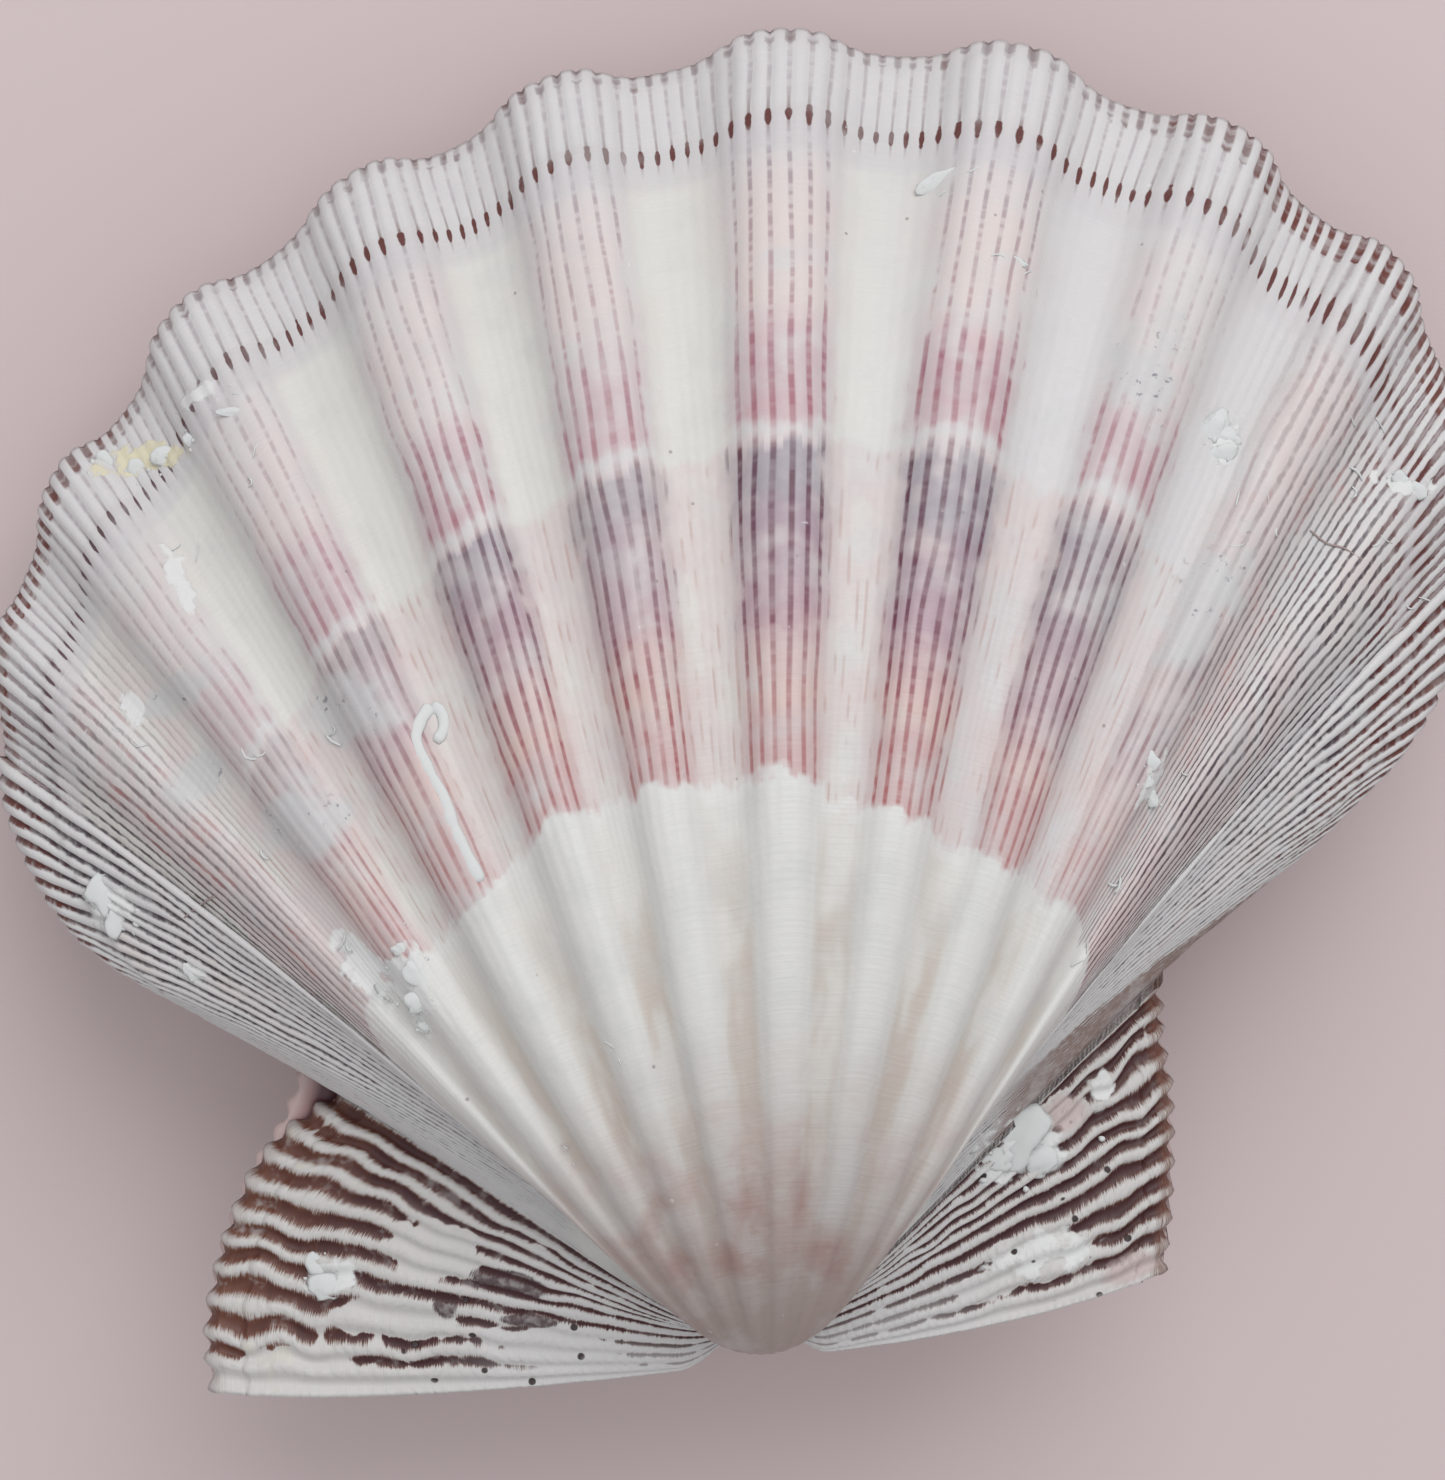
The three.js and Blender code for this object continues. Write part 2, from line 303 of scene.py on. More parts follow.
def outer_surface(columns, stages, curl, rib_sign, rib_gain, knobs):
    """Outside of a valve with ribs, ledge, last band and riblets, still with the hinge along X."""
    growth = stages[:, None]
    grid = smooth_surface(columns, stages, curl)
    gain = 1 + rib_gain * (1 - growth)
    lift = WALL + MARGIN_GAP / 2
    soft_start = 1 - EARLY_RIBS_LOWER * smoothstep(growth, 0.55, 0.15)
    height = lift + rib_sign * columns["wave"] * gain * soft_start * RIB_HEIGHT / 2 * growth
    band = np.clip((growth - (1 - LAST_BAND)) / LAST_BAND, 0, None)
    height = height - MARGIN_DROP * band**2
    height = height - LEDGE_HEIGHT * smoothstep(growth, LEDGE_STAGE - 0.004, LEDGE_STAGE + 0.004)
    if knobs:
        bumps = sum(np.exp(-(((growth - stage) / KNOB_LENGTH) ** 2)) for stage in KNOB_STAGES)
        height = height + KNOB_HEIGHT * growth * bumps * np.clip(rib_sign * columns["wave"], 0, 1) ** 3
    grid[:, :, 2] += height
    ribbed = (columns["zone"] > 0) & (columns["zone"] < 4)
    flank = (columns["zone"] == 1) | (columns["zone"] == 3)
    dip = 0.5 - 0.5 * np.cos(2 * np.pi * columns["riblet"])
    cord = 1 - 2 * dip ** np.where(ribbed, RIBLET_FLATNESS, 1)
    worn = 0.25 + 0.75 * smoothstep(growth, *WORN_TO)
    worn = worn * smoothstep(growth, *WORN_FROM) * (0.65 + 0.35 * columns["wave"])
    relief = np.where(flank, FLANK_RELIEF * growth**0.5, RIB_RELIEF * worn) * ribbed
    relief = relief + np.where(ribbed, 0, EAR_RELIEF) * growth
    swell = sum(height * lattice_noise(grid.reshape(-1, 3), size, 4) for height, size in SWELLS)
    grid += grid_normals(grid) * (relief * cord + swell.reshape(cord.shape) * growth**0.5)[:, :, None]
    return grid


def inner_surface(columns, stages, curl, rib_sign):
    grid = smooth_surface(columns, stages, curl)
    growth = stages[:, None]
    normals = grid_normals(grid)
    fade = smoothstep(growth, 1 - INNER_RIB_FADE, 1)
    grid[:, :, :2] -= WALL * normals[:, :, :2]
    grid[:, :, 2] += MARGIN_GAP / 2 + rib_sign * columns["wave"] * RIB_HEIGHT / 2 * growth * fade
    return grid


def sheet_faces(rows, tip, flip):
    a, b = rows[:-1, :-1].ravel(), rows[1:, :-1].ravel()
    c, d = rows[1:, 1:].ravel(), rows[:-1, 1:].ravel()
    quads = np.stack([a, b, c, d] if not flip else [a, d, c, b], axis=1).tolist()
    last = rows[-1]
    fan = [(p, tip, q) if not flip else (p, q, tip) for p, q in zip(last[:-1].tolist(), last[1:].tolist())]
    return quads + fan


def strip_faces(points, edge, other, flip):
    """Triangles between two edges that start level, always stepping along the one less far along."""
    faces = []
    reach = np.linalg.norm(points, axis=1)
    i = j = 0
    while i + 1 < len(edge) or j + 1 < len(other):
        next_edge = reach[edge[i + 1]] if i + 1 < len(edge) else -1
        next_other = reach[other[j + 1]] if j + 1 < len(other) else -1
        if next_edge >= next_other:
            face = (edge[i], edge[i + 1], other[j])
            i += 1
        else:
            face = (edge[i], other[j + 1], other[j])
            j += 1
        faces.append(face[::-1] if flip else face)
    return faces


# Rows of the mesh outside and inside, and how many outer columns there are to an inner one
OUTER_ROWS = 100
INNER_ROWS = 26
INNER_STEP = 6


def closed_valve(front_ear, curl, rib_sign, rib_gain, knobs):
    """Points, faces and surface values of one valve, upper side up, with the hinge along X."""
    stages = growth_stages(OUTER_ROWS)
    columns = margin_columns(front_ear, stages)
    outer = outer_surface(columns, stages, curl, rib_sign, rib_gain, knobs)
    inner_stages = np.linspace(1, 0.14, INNER_ROWS)
    inner = inner_surface(margin_columns(front_ear, inner_stages), inner_stages, curl, rib_sign)
    picked = np.unique(np.r_[np.arange(0, outer.shape[1], INNER_STEP), outer.shape[1] - 1])
    inner = inner[:, picked]
    count = outer.shape[0] * outer.shape[1]
    outer_rows = np.arange(count).reshape(outer.shape[:2])
    inner_rows = count + np.arange(inner.shape[0] * inner.shape[1]).reshape(inner.shape[:2])
    tip = np.array([0, TIP_STAGE * DISC_LENGTH * math.cos(-curl * math.log(TIP_STAGE)), WALL + 1])
    inner_tip = np.array([0, WALL / 2, MARGIN_GAP / 2])
    points = np.vstack([outer.reshape(-1, 3), inner.reshape(-1, 3), tip, inner_tip])
    outer_tip_index, inner_tip_index = len(points) - 2, len(points) - 1
    faces = sheet_faces(outer_rows, outer_tip_index, False)
    outside = len(faces)
    faces += sheet_faces(inner_rows, inner_tip_index, True)
    for side, flip in ((0, True), (-1, False)):
        edge = outer_rows[:, side].tolist() + [outer_tip_index]
        other = inner_rows[:, side].tolist() + [inner_tip_index]
        faces += strip_faces(points, edge, other, flip)
    for left, right, p, q in zip(picked[:-1], picked[1:], inner_rows[0][:-1], inner_rows[0][1:]):
        middle = (left + right) // 2
        faces += [(int(outer_rows[0][c]), int(outer_rows[0][c + 1]), int(p)) for c in range(left, middle)]
        faces.append((int(outer_rows[0][middle]), int(q), int(p)))
        faces += [(int(outer_rows[0][c]), int(outer_rows[0][c + 1]), int(q)) for c in range(middle, right)]
    values = dict(growth=np.repeat(stages, outer.shape[1]))
    for key in ("rib", "riblet", "wave", "zone"):
        values[key] = columns[key].ravel()
    extra = len(points) - count
    values = {key: np.r_[value, np.zeros(extra)] for key, value in values.items()}
    values["growth"][count:count + inner.shape[0] * inner.shape[1]] = np.repeat(inner_stages, inner.shape[1])
    values["inside"] = np.r_[np.zeros(count), np.ones(extra)]
    values["inside"][outer_tip_index] = 0
    return dict(points=points, faces=faces, values=values, outside=outside)


def turned_over(valve):
    valve["points"] = valve["points"] * (1, 1, -1)
    valve["faces"] = [tuple(face[::-1]) for face in valve["faces"]]
    return valve


def photo_pixels(points):
    """Where points of the hinge frame, in millimetres, fall in the photograph."""
    centre = np.array([PHOTO_WIDTH / 2, PHOTO_HEIGHT / 2])
    flat = points[:, :2] @ np.array(Matrix.Rotation(HINGE_TURN, 2)).T
    pixel = np.array(BEAK_PIXEL) + flat * (PIXELS_PER_MM, -PIXELS_PER_MM)
    zoom = CAMERA_DISTANCE / (CAMERA_DISTANCE - points[:, 2])
    return centre + (pixel - centre) * zoom[:, None]


def place_in_frame(valves):
    """Tilts both valves to lie as the solids do, fits them to the solids' box and wears the crests flat."""
    turn = np.array(Matrix.Rotation(REST_TILT, 3, "X"))
    for valve in valves:
        valve["points"] = valve["points"] @ turn.T
    together = np.vstack([valve["points"] for valve in valves])
    low, high = together.min(axis=0), together.max(axis=0)
    cad_low, cad_high = (np.array(corner) / MM for corner in cad_box)
    shift = (cad_low + cad_high) / 2 - (low + high) / 2
    shift[2] = cad_high[2] - high[2]
    for valve in valves:
        valve["points"] = valve["points"] + shift
        valve["points"][:, 2] = np.maximum(valve["points"][:, 2], 0)
    return shift


def valve_object(name, valve, materials):
    mesh = bpy.data.meshes.new(name)
    mesh.from_pydata((valve["points"] * MM).tolist(), [], valve["faces"])
    mesh.update()
    for key, value in valve["values"].items():
        layer = mesh.attributes.new(key, "FLOAT", "POINT")
        layer.data.foreach_set("value", value.astype(np.float32))
    piece = bpy.data.objects.new(name, mesh)
    bpy.context.scene.collection.objects.link(piece)
    for material in materials:
        mesh.materials.append(material)
    slots = np.ones(len(valve["faces"]), np.int32)
    slots[:valve["outside"]] = 0
    growth_slots = valve.get("growth_slots", [])
    slots[len(slots) - len(growth_slots):] = growth_slots
    mesh.polygons.foreach_set("material_index", slots)
    mesh.polygons.foreach_set("use_smooth", np.ones(len(valve["faces"]), bool))
    return piece


# What lies on the upper valve, in pixels of the photograph: middle, half length, half width, turn in degrees
PATCHES = {
    "chalk": [
        (362, 968, 50, 24, 62), (412, 985, 62, 26, 72), (1024, 1142, 50, 34, 15), (332, 1280, 32, 26, 0),
        (1228, 445, 16, 34, 15), (1150, 778, 11, 38, 25), (1402, 483, 40, 13, 12), (110, 908, 26, 34, 0),
        (190, 970, 18, 9, 0), (196, 398, 34, 12, -35), (1040, 1256, 70, 28, -15), (1000, 1175, 30, 20, 0),
        (176, 575, 16, 40, -20), (128, 708, 22, 26, 0), (1100, 1090, 26, 18, -60),
    ],
    "eroded": [
        (352, 712, 48, 60, 65), (305, 822, 40, 60, 62), (1205, 600, 95, 48, -62), (1148, 380, 80, 48, -70),
        (205, 780, 30, 50, 60), (180, 690, 24, 50, 60),
    ],
    "plain": [
        (432, 1250, 56, 36, 10), (395, 1318, 80, 26, 4), (560, 1350, 90, 30, 6), (300, 1366, 80, 22, 0),
        (1040, 1256, 76, 30, -15), (985, 1288, 40, 18, -20), (1062, 1112, 30, 22, 0),
    ],
    "bare": [(512, 1284, 50, 15, 14), (446, 1305, 15, 17, 0), (530, 1321, 34, 8, 4)],
    "pink": [(1066, 1112, 28, 22, 0), (1130, 1268, 36, 18, -20)],
    "yellow": [(145, 458, 64, 18, -10), (100, 470, 16, 12, 0)],
    "spots": [
        (682, 1270, 26, 30, 0), (650, 1225, 20, 60, 25), (735, 1262, 40, 26, 0), (830, 1262, 30, 40, -25),
        (745, 1205, 34, 60, 0), (800, 1190, 20, 50, 0),
    ],
    "pitted": [(1075, 1225, 80, 80, 0), (490, 1335, 110, 60, 0), (980, 1170, 36, 26, 0)],
}

# How strongly each rib shows its colours: from the white beak zone out to half way, the dark band,
# the rose band after it and the faint dotted stretch. Then the stages where each rib's dark band starts,
# where it starts on average, and where each rib's white beak zone ends; and the crusts' height
RIB_AMOUNTS = {
    "warm": [0.3, 0.6, 0.7, 0.9, 1, 0.8, 1, 0.8, 0.5, 0.3],
    "dark": [0.2, 0.35, 0.55, 0.85, 0.7, 1, 1, 0.8, 0.4, 0.2],
    "rose": [0.2, 0.4, 0.65, 0.8, 0.7, 0.9, 0.9, 0.7, 0.3, 0.2],
    "faint": [0.4, 0.5, 0.6, 0.7, 0.8, 1, 0.9, 0.5, 0.5, 0.4],
}
DARK_STARTS = [0.6, 0.6, 0.6, 0.594, 0.582, 0.572, 0.558, 0.532, 0.54, 0.55]
DARK_STAGE = 0.578
BEAK_ZONE_ENDS = [0.53, 0.495, 0.482, 0.497, 0.49, 0.48, 0.458, 0.447, 0.456, 0.468]
CRUST_HEIGHT = 0.35


def patch(pixels, ovals):
    """How far each point is inside a set of ovals of the photograph: 1 in the middle, 0 at the rim."""
    amount = np.zeros(len(pixels))
    for x, y, length, width, turn in ovals:
        angle = math.radians(turn)
        offset = pixels - (x, y)
        along = offset @ (math.cos(angle), math.sin(angle)) / length
        across = offset @ (-math.sin(angle), math.cos(angle)) / width
        amount = np.maximum(amount, 1 - np.hypot(along, across))
    return amount


def mark_upper_valve(valve):
    """Adds the upper valve's patches and rib colours to its surface values, and raises its crusts."""
    pixels = photo_pixels(valve["points"])
    values = valve["values"]
    outside = 1 - values["inside"]
    for key, ovals in PATCHES.items():
        values[key] = patch(pixels, ovals) * outside
    nearest = np.clip(np.round(values["rib"]), 0, len(CREST_ANGLES) - 1).astype(int)
    for key, amounts in RIB_AMOUNTS.items():
        values[key] = np.array(amounts)[nearest]
    values["shift"] = DARK_STAGE - np.array(DARK_STARTS)[nearest]
    values["beak_zone"] = np.interp(values["rib"], np.arange(len(CREST_ANGLES)), BEAK_ZONE_ENDS)
    values["left"] = smoothstep(-pixels[:, 0], -PHOTO_WIDTH / 2, 0)
    rough = 0.6 + 0.8 * lattice_noise(valve["points"], 1.4, 3) + 0.4 * lattice_noise(valve["points"], 0.6, 5)
    crust = smoothstep(np.maximum(values["chalk"], values["yellow"]) + 0.25 * rough, 0.3, 0.7)
    valve["points"][:, 2] += CRUST_HEIGHT * crust * np.clip(rough, 0.2, 1.6) * outside


upper = closed_valve(NOTCHED_EAR, UPPER_CURL, 1, 0, False)
lower = turned_over(closed_valve(FULL_EAR, LOWER_CURL, -1, LOWER_RIB_GAIN, True))
mark_upper_valve(upper)
upper_pixels = photo_pixels(upper["points"])
shift = place_in_frame([upper, lower])

# Growths on the upper valve, in pixels of the photograph: a worm's tube and its bent end, dry threads,
# flakes by middle, half length, half width and turn, and lumps by middle and size
WORM_TUBE = [(431, 706), (420, 722), (416, 742), (428, 770), (444, 800), (452, 824), (464, 850), (480, 882)]
WORM_TUBE_BACK = [(431, 706), (441, 712), (444, 728), (436, 742)]
THREADS = [[(184, 918), (197, 907), (216, 895)], [(1310, 530), (1326, 543), (1344, 548), (1362, 560)]]
FLAKES = [(938, 180, 26, 7, -20), (1020, 262, 8, 3, 40), (232, 412, 14, 4, 10)]
LUMPS = [
    (1214, 430, 16), (1230, 438, 12), (1222, 454, 13), (1400, 480, 10), (1416, 490, 9), (1150, 762, 10),
    (1146, 782, 9), (1152, 800, 8), (104, 896, 17), (116, 922, 13), (190, 970, 9), (402, 950, 10),
    (412, 972, 12), (418, 1000, 13), (424, 1026, 10), (316, 1268, 13), (326, 1288, 15), (1018, 1136, 30),
    (1040, 1160, 20), (998, 1160, 16), (105, 460, 13), (135, 468, 11), (165, 455, 12), (190, 440, 9),
]
# Where chalky wisps lie, and which way most of them point; below, radii are in millimetres
WISPS = [
    (240, 405, -20), (262, 465, -60), (190, 550, -30), (276, 868, 70), (350, 945, 60), (372, 985, 50),
    (240, 760, 40), (130, 720, 60), (330, 730, 60), (1000, 270, -20), (940, 190, -30), (1340, 480, 40),
    (1380, 560, 60), (1410, 610, 50), (1300, 500, 80), (1230, 520, -60), (1370, 430, 40), (1120, 860, 120),
    (1090, 940, 120), (1180, 760, 110), (620, 1050, 10), (560, 1150, 45),
]
WISPS_PER_PLACE = 2
WISP_RADIUS = 0.09
LUMP_SHARE = 0.75
CRUMBS_PER_LUMP = 4
TUBE_RADIUS = 0.6
TUBE_FLATNESS = 0.45
THREAD_RADIUS = 0.09

# Places of the materials in the upper valve's list
CHALKY, THREAD = 2, 3


def on_upper_valve(pixels):
    """Points of the upper valve's outside that show at these pixels of the photograph."""
    outside = upper["values"]["inside"] == 0
    shown = upper_pixels[:len(outside)][outside]
    points = upper["points"][:len(outside)][outside]
    spots = []
    for pixel in pixels:
        off = shown - pixel
        near = np.argsort(np.hypot(*off.T))[:16]
        flat = np.column_stack([np.ones(len(near)), off[near]])
        spots.append(np.linalg.lstsq(flat, points[near], rcond=None)[0][0])
    return np.array(spots)


def along_path(pixels, step):
    """Evenly spaced pixels along a smooth curve through the given ones."""
    length = sum(math.dist(a, b) for a, b in zip(pixels, pixels[1:]))
    return spline(pixels, np.linspace(0, 1, max(4, int(length / step))))


def tube(path, radius, sides, squash):
    """A closed, flattened tube that tapers a little at both ends and is lumpy along its length."""
    direction = np.gradient(path, axis=0)
    direction /= np.linalg.norm(direction, axis=1, keepdims=True)
    side = np.cross(direction, (0, 0, 1))
    side /= np.linalg.norm(side, axis=1, keepdims=True)
    up = np.cross(side, direction)
    turn = np.linspace(0, 2 * np.pi, sides, endpoint=False)
    thick = radius * (1 + 0.2 * lattice_noise(path, radius * 2, 8))
    thick[[0, -1]] *= 0.6
    ring = side[:, None] * np.cos(turn)[:, None] + squash * up[:, None] * np.sin(turn)[:, None]
    points = (path[:, None] + ring * thick[:, None, None]).reshape(-1, 3)
    rows = np.arange(len(points)).reshape(len(path), sides)
    faces = []
    for near, far in zip(rows[:-1], rows[1:]):
        for k in range(sides):
            faces.append((near[k], near[(k + 1) % sides], far[(k + 1) % sides], far[k]))
    return points, faces + [tuple(rows[0][::-1]), tuple(rows[-1])]


def lump(middle, size, squash, seed, turn, stretch, fineness):
    """A small uneven ball, flattened and stretched along one direction."""
    shape = bmesh.new()
    bmesh.ops.create_icosphere(shape, subdivisions=fineness, radius=1)
    points = np.array([tuple(vertex.co) for vertex in shape.verts])
    faces = [tuple(vertex.index for vertex in face.verts) for face in shape.faces]
    shape.free()
    uneven = 0.4 * lattice_noise(points + seed, 0.9, seed) + 0.25 * lattice_noise(points, 0.45, seed)
    uneven += 0.12 * lattice_noise(points, 0.2, seed)
    points *= (1 + uneven)[:, None]
    points *= (stretch, 1, squash)
    spin = np.array(Matrix.Rotation(-turn, 3, "Z"))
    return middle + size * points @ spin.T, faces


def growths():
    """All growths as closed shapes, each with its material's place in the valve's list."""
    random = np.random.default_rng(5)
    shapes = []
    for pixels in (WORM_TUBE, WORM_TUBE_BACK):
        path = on_upper_valve(along_path(pixels, 5))
        shapes.append((*tube(path, TUBE_RADIUS, 10, TUBE_FLATNESS), CHALKY))
    for pixels in THREADS:
        path = on_upper_valve(along_path(pixels, 5)) + (0, 0, THREAD_RADIUS)
        shapes.append((*tube(path, THREAD_RADIUS, 6, 1), THREAD))
    for x, y, turn in WISPS:
        for _ in range(WISPS_PER_PLACE):
            start = random.normal((x, y), 14)
            heading = math.radians(turn) + random.normal(0, 0.5)
            bend = heading + random.normal(0, 0.8)
            length = random.uniform(4, 11)
            middle = start + length * np.array([math.cos(heading), math.sin(heading)])
            far = middle + length * np.array([math.cos(bend), math.sin(bend)])
            path = on_upper_valve(along_path([tuple(start), tuple(middle), tuple(far)], 4))
            radius = WISP_RADIUS * random.uniform(0.6, 1.6)
            shapes.append((*tube(path + (0, 0, WISP_RADIUS), radius, 5, 1), CHALKY))
    for seed, (x, y, size) in enumerate(LUMPS):
        middle = on_upper_valve([(x, y)])[0]
        turn = random.uniform(0, math.pi)
        radius = size / PIXELS_PER_MM * LUMP_SHARE
        shapes.append((*lump(middle, radius, 0.3, seed + 1, turn, random.uniform(1, 1.6), 3), CHALKY))
        for crumb in range(CRUMBS_PER_LUMP):
            middle = on_upper_valve([random.normal((x, y), size * 0.9)])[0]
            radius = size / PIXELS_PER_MM * random.uniform(0.1, 0.25)
            turn = random.uniform(0, math.pi)
            stretch = random.uniform(1, 1.6)
            shapes.append((*lump(middle, radius, 0.4, crumb + 60, turn, stretch, 1), CHALKY))
    for seed, (x, y, length, width, turn) in enumerate(FLAKES):
        middle = on_upper_valve([(x, y)])[0] + (0, 0, 0.2)
        size = width / PIXELS_PER_MM
        turn = math.radians(turn)
        shapes.append((*lump(middle, size, 0.2, seed + 40, turn, length / width, 3), CHALKY))
    return shapes


def add_growths(valve):
    """Adds the growths to the valve's own mesh, after its other faces."""
    valve["growth_slots"] = []
    for points, faces, slot in growths():
        valve["growth_slots"] += [slot] * len(faces)
        first = len(valve["points"])
        valve["points"] = np.vstack([valve["points"], points])
        valve["faces"] += [tuple(int(first + corner) for corner in face) for face in faces]
        for key, value in valve["values"].items():
            valve["values"][key] = np.r_[value, np.zeros(len(points))]


add_growths(upper)

# Materials. Colours are given as they look in the photograph, from 0 to 255
GLOSSY, MATT = 0.28, 0.8
PAPER = (0.6, 0.505, 0.51, 1)
LIGHT_LEVEL = 1.16


def seen(red, green, blue):
    """The surface colour of something that looks like this in the photograph's light."""
    parts = [value / 255 for value in (red, green, blue)]
    return (*[((part + 0.055) / 1.055) ** 2.4 / LIGHT_LEVEL for part in parts], 1)


def feed(tree, socket, value):
    if isinstance(value, Field):
        tree.links.new(value.socket, socket)
    else:
        socket.default_value = value


class Field:
    """A value or colour over a surface, made by shader nodes; values add, multiply and so on."""

    def __init__(self, tree, socket):
        self.tree = tree
        self.socket = socket

    def math(self, operation, *others):
        node = self.tree.nodes.new("ShaderNodeMath")
        node.operation = operation
        for socket, value in zip(node.inputs, (self, *others)):
            feed(self.tree, socket, value)
        return Field(self.tree, node.outputs[0])

    def __add__(self, other):
        return self.math("ADD", other)

    def __sub__(self, other):
        return self.math("SUBTRACT", other)

    def __mul__(self, other):
        return self.math("MULTIPLY", other)

    def __truediv__(self, other):
        return self.math("DIVIDE", other)

    def opposite(self):
        """One minus the value."""
        return self.math("MULTIPLY_ADD", -1.0, 1.0)

    def sway(self, amount):
        """How far the value is from one half, times this amount."""
        return self.math("MULTIPLY_ADD", amount, -amount / 2)

    def ramp(self, low, high):
        """0 at low and 1 at high, smooth between; low may be the larger one."""
        node = self.tree.nodes.new("ShaderNodeMapRange")
        node.interpolation_type = "SMOOTHSTEP"
        feed(self.tree, node.inputs["Value"], self)
        feed(self.tree, node.inputs["From Min"], low)
        feed(self.tree, node.inputs["From Max"], high)
        return Field(self.tree, node.outputs["Result"])

    def between(self, low, high, soft):
        """1 from low to high, with edges this soft."""
        return self.ramp(low - soft, low + soft) * self.ramp(high + soft, high - soft)

    def colors(self, stops):
        """A colour for each value, blended between stops."""
        node = self.tree.nodes.new("ShaderNodeValToRGB")
        marks = node.color_ramp.elements
        while len(marks) < len(stops):
            marks.new(1)
        for mark, (place, color) in zip(marks, stops):
            mark.position = place
            mark.color = color
        feed(self.tree, node.inputs["Fac"], self)
        return Field(self.tree, node.outputs["Color"])


class Surface:
    """A material that is being built."""

    def __init__(self, name):
        self.material = bpy.data.materials.new(name)
        self.material.use_nodes = True
        self.tree = self.material.node_tree
        self.shader = self.tree.nodes["Principled BSDF"]

    def value(self, name):
        node = self.tree.nodes.new("ShaderNodeAttribute")
        node.attribute_name = name
        return Field(self.tree, node.outputs["Fac"])

    def noise(self, across, along, seed, detail=2.0):
        """Noise over two surface values, about 0.2 to 0.8, with features one unit across."""
        vector = self.tree.nodes.new("ShaderNodeCombineXYZ")
        feed(self.tree, vector.inputs[0], across)
        feed(self.tree, vector.inputs[1], along)
        vector.inputs[2].default_value = seed
        node = self.tree.nodes.new("ShaderNodeTexNoise")
        node.inputs["Scale"].default_value = 1
        node.inputs["Detail"].default_value = detail
        self.tree.links.new(vector.outputs[0], node.inputs["Vector"])
        return Field(self.tree, node.outputs[0])

    def grain(self, size, detail=3.0):
        """Noise in space with features this many millimetres across."""
        place = self.tree.nodes.new("ShaderNodeTexCoord")
        node = self.tree.nodes.new("ShaderNodeTexNoise")
        node.inputs["Scale"].default_value = 1 / (size * MM)
        node.inputs["Detail"].default_value = detail
        self.tree.links.new(place.outputs["Object"], node.inputs["Vector"])
        return Field(self.tree, node.outputs[0])

    def specks(self, size, share):
        """Round specks, one to a cell of this many millimetres, covering this part of its width."""
        place = self.tree.nodes.new("ShaderNodeTexCoord")
        node = self.tree.nodes.new("ShaderNodeTexVoronoi")
        node.inputs["Scale"].default_value = 1 / (size * MM)
        self.tree.links.new(place.outputs["Object"], node.inputs["Vector"])
        return Field(self.tree, node.outputs["Distance"]).ramp(share, share * 0.7)

    def patch(self, name, ragged, low, high):
        """1 inside patches of this name, 0 outside, with ragged edges."""
        inside = self.value(name)
        return (inside + ragged).ramp(low, high) * inside.ramp(0.0, 0.12)

    def mix(self, first, second, amount):
        node = self.tree.nodes.new("ShaderNodeMix")
        node.data_type = "RGBA"
        feed(self.tree, node.inputs[0], amount)
        feed(self.tree, node.inputs[6], first)
        feed(self.tree, node.inputs[7], second)
        return Field(self.tree, node.outputs[2])

    def finish(self, color, roughness, height=None, depth=0.2):
        feed(self.tree, self.shader.inputs["Base Color"], color)
        feed(self.tree, self.shader.inputs["Roughness"], roughness)
        if height is not None:
            bump = self.tree.nodes.new("ShaderNodeBump")
            bump.inputs["Distance"].default_value = depth * MM
            feed(self.tree, bump.inputs["Height"], height)
            self.tree.links.new(bump.outputs["Normal"], self.shader.inputs["Normal"])
        return self.material


# Colours of the upper valve, from the beak outwards
WHITE = seen(213, 212, 213)
CREAM = seen(218, 218, 213)
BEAK_WHITE = seen(222, 222, 219)
# Tan of the valleys near the beak: partly the shell's own tint, partly painted valley shade
BEAK_TAN_AND_VALLEY_SHADE = seen(190, 176, 164)
BEAK_BLUSH = seen(198, 168, 162)
# Painted shade for the steep beak end, over the tip's own greyer tone
BEAK_PAINTED_SHADE = seen(164, 149, 144)
BEAK_SPOT = seen(150, 98, 90)
CHALK_WHITE = seen(226, 227, 227)
PINKISH = seen(213, 200, 199)
PALE_LINE = seen(184, 150, 142)
RIB_BANDS = [
    (0.43, seen(208, 180, 180)), (0.515, seen(206, 176, 176)), (0.53, seen(214, 190, 184)),
    (0.56, seen(210, 184, 182)), (0.59, seen(186, 160, 170)), (0.645, seen(174, 156, 166)),
    (0.66, seen(166, 159, 167)), (0.684, seen(172, 165, 172)), (0.69, seen(218, 208, 210)),
    (0.698, seen(218, 208, 210)), (0.704, seen(203, 176, 181)), (0.74, seen(201, 178, 183)),
    (0.765, seen(212, 190, 193)), (0.785, seen(220, 208, 205)), (0.85, seen(221, 210, 207)),
    (0.885, seen(217, 209, 209)), (0.905, seen(209, 205, 207)), (0.926, seen(208, 205, 207)),
    (0.935, seen(214, 213, 214)),
]
GROOVE_LINES = [
    (0.43, seen(176, 106, 104)), (0.54, seen(160, 92, 98)), (0.59, seen(116, 62, 82)),
    (0.685, seen(92, 56, 74)), (0.7, seen(160, 92, 106)), (0.76, seen(154, 90, 108)),
    (0.79, seen(172, 136, 144)), (0.9, seen(146, 132, 142)),
]
LOWER_VALVE = [
    (0.1, seen(206, 176, 160)), (0.3, seen(190, 138, 120)), (0.42, seen(150, 92, 78)),
    (0.55, seen(128, 70, 62)), (0.6, seen(176, 128, 112)), (0.7, seen(138, 78, 66)),
    (0.82, seen(120, 64, 56)), (0.88, seen(172, 124, 110)), (0.93, seen(150, 92, 76)),
    (1.0, seen(130, 76, 62)),
]
